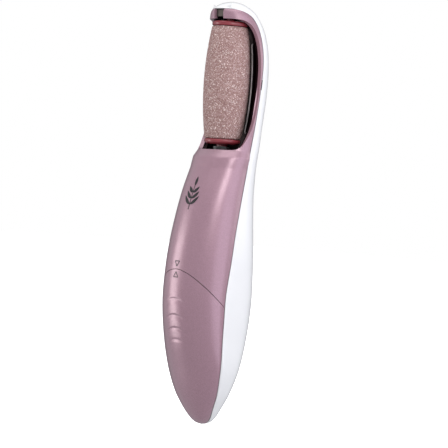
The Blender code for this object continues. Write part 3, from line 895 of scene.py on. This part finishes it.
def alignment_marks(look):
    """Two small open triangles, one each side of the cover's joint, point to point."""
    half, tall, clear, line_width = 1.35, 2.4, 1.2, 0.4
    for name, body, sign in (("shell_mark", "handpiece", 1), ("cover_mark", "cover", -1)):
        tip = (0.0, COVER_APEX + sign * clear)
        top = COVER_APEX + sign * (clear + tall)
        corners = (tip, (half, top), (-half, top), tip)
        lines = [
            (straight(start, end), lambda t: line_width)
            for start, end in zip(corners, corners[1:])
        ]
        printed(name, lines, look, body)


def sprig_motif(look):
    """A plain leaf sprig, printed in the middle of the front."""
    foot, top, tip = 97.0, 108.0, 112.0
    pairs, first, pitch = 3, 2.4, 2.7
    stem = straight((0.0, foot), (0.0, top), 14)
    lines = [(stem, lambda t: 0.5 - 0.2 * t)]

    def leaf_width(t):
        return 0.06 + 1.5 * math.sin(math.pi * min(t, 1.0)) ** 0.8

    for step in range(pairs):
        height = foot + first + pitch * step
        reach = 4.2 - 0.6 * step
        for side in HANDS.values():
            leaf = []
            for t in between(0.0, 1.0, 12):
                leaf.append((side * reach * t, height + reach * (0.35 * t + 0.55 * t * t)))
            lines.append((leaf, leaf_width))
    lines.append((straight((0.0, top - 0.3), (0.0, tip), 12), leaf_width))
    printed("front_motif", lines, look, "handpiece")


# ---------------------------------------------------------------- materials

class Look:
    """A Principled material, with helpers for wiring textures in object space."""

    def __init__(self, name, colour, roughness, metallic=0.0, coat=0.0, coat_roughness=0.1):
        self.material = bpy.data.materials.new(name)
        self.material.use_nodes = True
        self.tree = self.material.node_tree
        self.shader = self.tree.nodes["Principled BSDF"]
        self.colour = colour
        self.set("Base Color", (*colour, 1.0))
        self.set("Roughness", roughness)
        self.set("Metallic", metallic)
        self.set("Coat Weight", coat)
        self.set("Coat Roughness", coat_roughness)
        self.place = self.node("ShaderNodeTexCoord").outputs["Object"]

    def set(self, name, value):
        self.shader.inputs[name].default_value = value

    def node(self, kind, **settings):
        made = self.tree.nodes.new(kind)
        for name, value in settings.items():
            setattr(made, name, value)
        return made

    def join(self, output, target):
        self.tree.links.new(output, target)

    def noise(self, size, detail=3.0, stretch=(1, 1, 1)):
        """Noise whose features are about size millimetres across."""
        mapping = self.node("ShaderNodeMapping")
        mapping.inputs["Scale"].default_value = stretch
        self.join(self.place, mapping.inputs["Vector"])
        made = self.node("ShaderNodeTexNoise")
        made.inputs["Scale"].default_value = 1 / (size * MM)
        made.inputs["Detail"].default_value = detail
        self.join(mapping.outputs["Vector"], made.inputs["Vector"])
        return made.outputs["Fac"]

    def cells(self, size):
        """Random shades from 0 to 1 in grains about size millimetres across."""
        made = self.node("ShaderNodeTexVoronoi")
        made.inputs["Scale"].default_value = 1 / (size * MM)
        self.join(self.place, made.inputs["Vector"])
        channel = self.node("ShaderNodeSeparateColor")
        self.join(made.outputs["Color"], channel.inputs["Color"])
        return channel.outputs["Red"]

    def ramp(self, factor, stops):
        """Map a value to shades or colours through (place, colour) stops."""
        made = self.node("ShaderNodeValToRGB")
        points = made.color_ramp.elements
        while len(points) < len(stops):
            points.new(0.5)
        for element, (place, colour) in zip(points, stops):
            element.position = place
            element.color = (*colour, 1.0)
        self.join(factor, made.inputs["Fac"])
        return made.outputs["Color"]

    def mix(self, factor, output, colour):
        """Blend another node's output towards a plain colour."""
        made = self.node("ShaderNodeMix", data_type="RGBA")
        sockets = {socket.identifier: socket for socket in (*made.inputs, *made.outputs)}
        self.join(factor, sockets["Factor_Float"])
        self.join(output, sockets["A_Color"])
        sockets["B_Color"].default_value = (*colour, 1.0)
        return sockets["Result_Color"]

    def shade(self, factor, depth):
        """Vary the base colour by a share of itself, up and down."""
        dark = tuple(value * (1 - depth) for value in self.colour)
        light = tuple(min(value * (1 + depth), 1.0) for value in self.colour)
        shades = self.ramp(factor, ((0.25, dark), (0.75, light)))
        self.join(shades, self.shader.inputs["Base Color"])

    def bump(self, factor, depth):
        """Raise the surface by depth millimetres."""
        made = self.node("ShaderNodeBump")
        made.inputs["Distance"].default_value = depth * MM
        self.join(factor, made.inputs["Height"])
        self.join(made.outputs["Normal"], self.shader.inputs["Normal"])

    def rough(self, factor, low, high):
        grey = self.ramp(factor, ((0.3, (low,) * 3), (0.7, (high,) * 3)))
        self.join(grey, self.shader.inputs["Roughness"])


def mauve_lacquer():
    """Satin metallic lacquer with a fine flake under a thin clear coat."""
    look = Look("mauve_lacquer", (0.38, 0.218, 0.272), 0.37, 0.32, 0.8, 0.24)
    look.shade(look.cells(0.12), 0.14)
    look.bump(look.noise(0.25), 0.0018)
    look.rough(look.noise(9.0), 0.31, 0.37)
    return look.material


def white_gloss():
    """Moulded white plastic with a faint waviness."""
    look = Look("white_gloss", (0.885, 0.89, 0.895), 0.2, 0.0, 0.25, 0.06)
    look.shade(look.noise(14.0), 0.012)
    look.bump(look.noise(3.5, 2.0), 0.004)
    look.rough(look.noise(1.2), 0.18, 0.24)
    return look.material


def black_gloss():
    """Black plastic, with weak reflections. Their pink specular tint is a painted reflection of
    the mauve pieces round it.
    """
    look = Look("black_gloss", (0.006, 0.002, 0.003), 0.22)
    look.set("Specular IOR Level", 0.06)
    # Painted reflection: a pink tint on every reflection, for the mauve pieces mirrored in the
    # black.
    look.set("Specular Tint", (1.0, 0.62, 0.66, 1.0))
    look.bump(look.noise(1.5), 0.003)
    look.rough(look.noise(0.8), 0.12, 0.24)
    return look.material


def moulded(name, colour, roughness, grain=0.35, depth=0.01):
    """Plain injection-moulded plastic with a spark-eroded grain."""
    look = Look(name, colour, roughness)
    look.shade(look.noise(6.0), 0.05)
    look.bump(look.noise(grain), depth)
    look.rough(look.noise(2.0), roughness - 0.05, roughness + 0.06)
    return look.material


def burgundy_plastic():
    look = Look("burgundy_plastic", (0.25, 0.034, 0.045), 0.26, 0.0, 0.15, 0.1)
    look.shade(look.noise(3.0), 0.12)
    look.bump(look.noise(0.5), 0.004)
    return look.material


def mineral_grit():
    """Pressed mineral grains in several mauve browns. A few grains are shiny, and their
    near-white colour is a painted glint.
    """
    look = Look("mineral_grit", (0.28, 0.165, 0.16), 0.62)
    body = look.ramp(look.cells(0.36), (
        (0.0, (0.25, 0.13, 0.12)), (0.35, (0.345, 0.197, 0.183)),
        (0.75, (0.45, 0.287, 0.268)), (1.0, (0.58, 0.42, 0.39)),
    ))
    fine = look.cells(0.3)
    # Painted glint: about one grain in twenty is coloured near white, and the same grains are
    # made shiny below.
    painted_glint = look.ramp(fine, ((0.945, (0, 0, 0)), (0.955, (1, 1, 1))))
    colour = look.mix(painted_glint, body, (1.0, 0.88, 0.84))
    look.join(colour, look.shader.inputs["Base Color"])
    matt, shiny = (0.7,) * 3, (0.15,) * 3
    look.join(look.ramp(fine, ((0.94, matt), (0.955, shiny))), look.shader.inputs["Roughness"])
    look.bump(look.cells(0.3), 0.09)
    return look.material


def metal(name, colour, roughness, stretch=(1, 1, 0.05)):
    """Bright metal with drawn or turned lines."""
    look = Look(name, colour, roughness, 1.0)
    lines = look.noise(0.15, 2.0, stretch)
    look.rough(lines, roughness - 0.08, roughness + 0.12)
    look.bump(lines, 0.002)
    return look.material


def felt():
    look = Look("felt", (0.03, 0.03, 0.03), 0.95)
    look.shade(look.noise(0.2), 0.5)
    look.bump(look.noise(0.15, 5.0), 0.12)
    return look.material


def board_mask():
    """Solder mask over a faint net of copper tracks."""
    look = Look("board_mask", (0.02, 0.13, 0.06), 0.35, 0.0, 0.4, 0.15)
    tracks = look.node("ShaderNodeTexBrick")
    for name, value in (
        ("Scale", 260.0), ("Mortar Size", 0.06), ("Color1", (0.015, 0.11, 0.05, 1)),
        ("Color2", (0.02, 0.13, 0.055, 1)), ("Mortar", (0.05, 0.24, 0.1, 1)),
    ):
        tracks.inputs[name].default_value = value
    look.join(look.place, tracks.inputs["Vector"])
    look.join(tracks.outputs["Color"], look.shader.inputs["Base Color"])
    return look.material


def cell_wrap():
    """A plain printed film, dark with one light band, over a steel can."""
    can, film, band = (0.6, 0.6, 0.6), (0.05, 0.07, 0.1), (0.62, 0.42, 0.16)
    look = Look("cell_wrap", film, 0.28, 0.3, 0.5, 0.08)
    split = look.node("ShaderNodeSeparateXYZ")
    look.join(look.place, split.inputs["Vector"])
    span = look.node("ShaderNodeMapRange")
    low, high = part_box("battery_left")
    span.inputs["From Min"].default_value = low.z
    span.inputs["From Max"].default_value = high.z
    look.join(split.outputs["Z"], span.inputs["Value"])
    bands = look.ramp(span.outputs["Result"], (
        (0.0, can), (0.02, film), (0.7, film), (0.71, band), (0.95, band), (0.96, can),
    ))
    look.join(bands, look.shader.inputs["Base Color"])
    look.bump(look.noise(1.0), 0.002)
    return look.material


def studio_floor():
    """A pale sweep, lit a little from within so that shadows on it stay soft."""
    look = Look("studio_floor", (0.9, 0.9, 0.9), 0.9)
    look.set("Emission Color", (1, 1, 1, 1))
    look.set("Emission Strength", 0.9)
    look.shade(look.noise(400.0), 0.003)
    return look.material


# ---------------------------------------------------------------- stage

VIEW_AZIMUTH = 45.0
VIEW_ELEVATION = 0.5
VIEW_ROLL = 4.05
VIEW_TARGET = (2.42, 2.42, 91.4)
VIEW_DISTANCE = 1.1
VIEW_WIDTH = 203.6
SENSOR = 36.0


def direction(azimuth, elevation):
    """The way from the object to a camera or lamp at those angles, in degrees."""
    a, e = math.radians(azimuth), math.radians(elevation)
    return Vector((math.sin(a) * math.cos(e), -math.cos(a) * math.cos(e), math.sin(e)))


def make_camera():
    data = bpy.data.cameras.new("camera")
    data.sensor_width = SENSOR
    data.lens = SENSOR * VIEW_DISTANCE / (VIEW_WIDTH * MM)
    data.clip_start, data.clip_end = 0.05, 30.0
    camera = add_to_scene("camera", data)
    back = direction(VIEW_AZIMUTH, VIEW_ELEVATION)
    camera.location = point(*VIEW_TARGET) + back * VIEW_DISTANCE
    aim = (-back).to_track_quat("-Z", "Y").to_matrix()
    camera.rotation_euler = (aim @ Matrix.Rotation(math.radians(VIEW_ROLL), 3, "Z")).to_euler()
    bpy.context.scene.camera = camera


def soft_box(name, azimuth, elevation, distance, size, brightness, colour=(1, 1, 1),
             aim_height=95.0):
    """A rectangular lamp that faces the object. brightness is the glow of its surface."""
    data = bpy.data.lights.new(name, "AREA")
    data.shape = "RECTANGLE"
    data.size, data.size_y = size
    data.energy = brightness * math.pi * size[0] * size[1]
    data.color = colour
    lamp = add_to_scene(name, data)
    back = direction(azimuth, elevation)
    lamp.location = point(0, 0, aim_height) + back * distance
    lamp.rotation_mode = "QUATERNION"
    lamp.rotation_quaternion = (-back).to_track_quat("-Z", "Y")


def make_lights():
    """Each lamp: azimuth and elevation in degrees, distance and size in metres, glow, tint."""
    soft_box("front_strip", -48, -5, 0.9, (0.24, 0.7), 4.2, (1.0, 0.98, 0.965))
    soft_box("side_box", 99, 10, 0.9, (0.6, 1.0), 1.25, (0.86, 0.86, 1.0))
    soft_box("head_light", 62, 8, 0.2, (0.07, 0.07), 4.4, aim_height=172.0)
    soft_box("rim_light", 142, 3, 0.4, (0.2, 0.2), 1.0, aim_height=168.0)
    soft_box("overhead", 20, 78, 1.1, (1.3, 1.3), 1.3)
    soft_box("fill", 62, 30, 1.4, (0.9, 0.5), 1.0)


def make_world():
    """White behind the object, and a calmer room for it to reflect. The room's far wall is
    darker, which draws a fine dark line along glossy edges."""
    world = bpy.data.worlds.new("studio")
    world.use_nodes = True
    bpy.context.scene.world = world
    tree = world.node_tree
    tree.nodes.clear()
    room = tree.nodes.new("ShaderNodeBackground")
    room.inputs["Color"].default_value = (0.96, 0.965, 1.0, 1)
    way = tree.nodes.new("ShaderNodeTexCoord")
    facing = tree.nodes.new("ShaderNodeVectorMath")
    facing.operation = "DOT_PRODUCT"
    facing.inputs[1].default_value = direction(VIEW_AZIMUTH + 180, 0)
    tree.links.new(way.outputs["Generated"], facing.inputs[0])
    level = tree.nodes.new("ShaderNodeMapRange")
    level.interpolation_type = "SMOOTHSTEP"
    near_wall, far_wall = 0.66, 0.2
    for name, value in (
        ("From Min", 0.6), ("From Max", 0.9), ("To Min", near_wall), ("To Max", far_wall),
    ):
        level.inputs[name].default_value = value
    tree.links.new(facing.outputs["Value"], level.inputs["Value"])
    tree.links.new(level.outputs["Result"], room.inputs["Strength"])
    backdrop = tree.nodes.new("ShaderNodeBackground")
    backdrop.inputs["Color"].default_value = (1, 1, 1, 1)
    backdrop.inputs["Strength"].default_value = 1.0
    ray = tree.nodes.new("ShaderNodeLightPath")
    mixed = tree.nodes.new("ShaderNodeMixShader")
    out = tree.nodes.new("ShaderNodeOutputWorld")
    tree.links.new(ray.outputs["Is Camera Ray"], mixed.inputs["Fac"])
    tree.links.new(room.outputs["Background"], mixed.inputs[1])
    tree.links.new(backdrop.outputs["Background"], mixed.inputs[2])
    tree.links.new(mixed.outputs["Shader"], out.inputs["Surface"])
    scene = bpy.context.scene
    scene.view_settings.view_transform = "Standard"
    scene.view_settings.look = "None"


def make_floor():
    """A plain pale floor, low enough for the battery cover to slide down over it."""
    bm = bmesh.new()
    half, level = 4000.0, -12.6
    corners = ((-half, -half), (half, -half), (half, half), (-half, half))
    bm.faces.new([bm.verts.new(point(x, y, level)) for x, y in corners])
    floor = written("floor", bm)
    floor.data.materials.append(studio_floor())
    floor.visible_diffuse = False
    floor.visible_glossy = False


# ---------------------------------------------------------------- the whole scene

def dress(look, *names):
    """Give CAD nodes that stay in view a finished material."""
    for name in names:
        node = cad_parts[name]
        node.data.materials.clear()
        node.data.materials.append(look)


def dress_cad_nodes(black, grey, steel):
    """Finish the CAD nodes that no piece above stands for."""
    brass = metal("brass", (0.62, 0.43, 0.18), 0.3, (1, 1, 1))
    acetal = moulded("acetal", (0.72, 0.70, 0.64), 0.38)
    dress(metal("dark_steel", (0.1, 0.088, 0.08), 0.5), "bearing_block")
    dress(steel, "output_spindle", "cluster_pin", "motor_can", "motor_shaft",
          "gear_screw_1", "gear_screw_2", "gear_screw_3", "contact_bridge",
          "contact_plate_left", "contact_plate_right", "contact_spring_left",
          "contact_spring_right")
    dress(brass, "spindle_bush", "motor_armature", "motor_commutator", "motor_brush_left",
          "motor_brush_right")
    dress(acetal, "output_gear", "cluster_gear", "motor_pinion", "switch_lever")
    dress(black, "gear_plate", "gear_cover", "switch_body", "battery_carrier")
    dress(moulded("socket_plastic", (0.03, 0.027, 0.028), 0.26), "drive_socket")
    dress(grey, "power_button")
    dress(moulded("end_cap_plastic", (0.75, 0.75, 0.73), 0.4), "motor_end_cap")
    dress(moulded("ferrite", (0.035, 0.035, 0.037), 0.6), "motor_magnet_left",
          "motor_magnet_right")
    dress(felt(), "socket_seal")
    dress(board_mask(), "circuit_board")
    dress(cell_wrap(), "battery_left", "battery_right")
    dress(moulded("red_insulation", (0.45, 0.02, 0.02), 0.4), "red_lead")
    dress(moulded("black_insulation", (0.012, 0.012, 0.012), 0.4), "black_lead")
    bevel(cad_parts["power_button"], 0.5, segments=4, angle=35)
    bevel(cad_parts["bearing_block"], 0.2, angle=35)


def main():
    make_camera()
    make_world()
    make_lights()
    make_floor()

    mauve, white, black = mauve_lacquer(), white_gloss(), black_gloss()
    burgundy = burgundy_plastic()
    grey = moulded("grey_plastic", (0.17, 0.165, 0.17), 0.34)
    painted_highlight_grey = moulded("painted_highlight_grey", (0.5, 0.46, 0.46), 0.3)
    ink = moulded("black_ink", (0.012, 0.01, 0.012), 0.45, 0.1, 0.001)
    steel = metal("steel", (0.56, 0.56, 0.55), 0.26)

    front_shell_skin(mauve)
    battery_cover_skin(mauve)
    arm_block(black)
    rear_shell_skin(white)
    cradle_trough(black)
    cradle_floor(black)
    grit_sleeve(mineral_grit())
    roller_ends(burgundy)
    drive_peg(burgundy)
    for hand in HANDS:
        # Beside the roller, a black web with a grey lip that is a painted highlight.
        guard_rib(hand, black, painted_highlight_grey)
        # A black block in each seam slot of the head is painted shade.
        notch_shade_fill(hand, black)
    alignment_marks(ink)
    sprig_motif(ink)
    button_grips(grey)
    socket_coil(steel)
    dress_cad_nodes(black, grey, steel)


main()
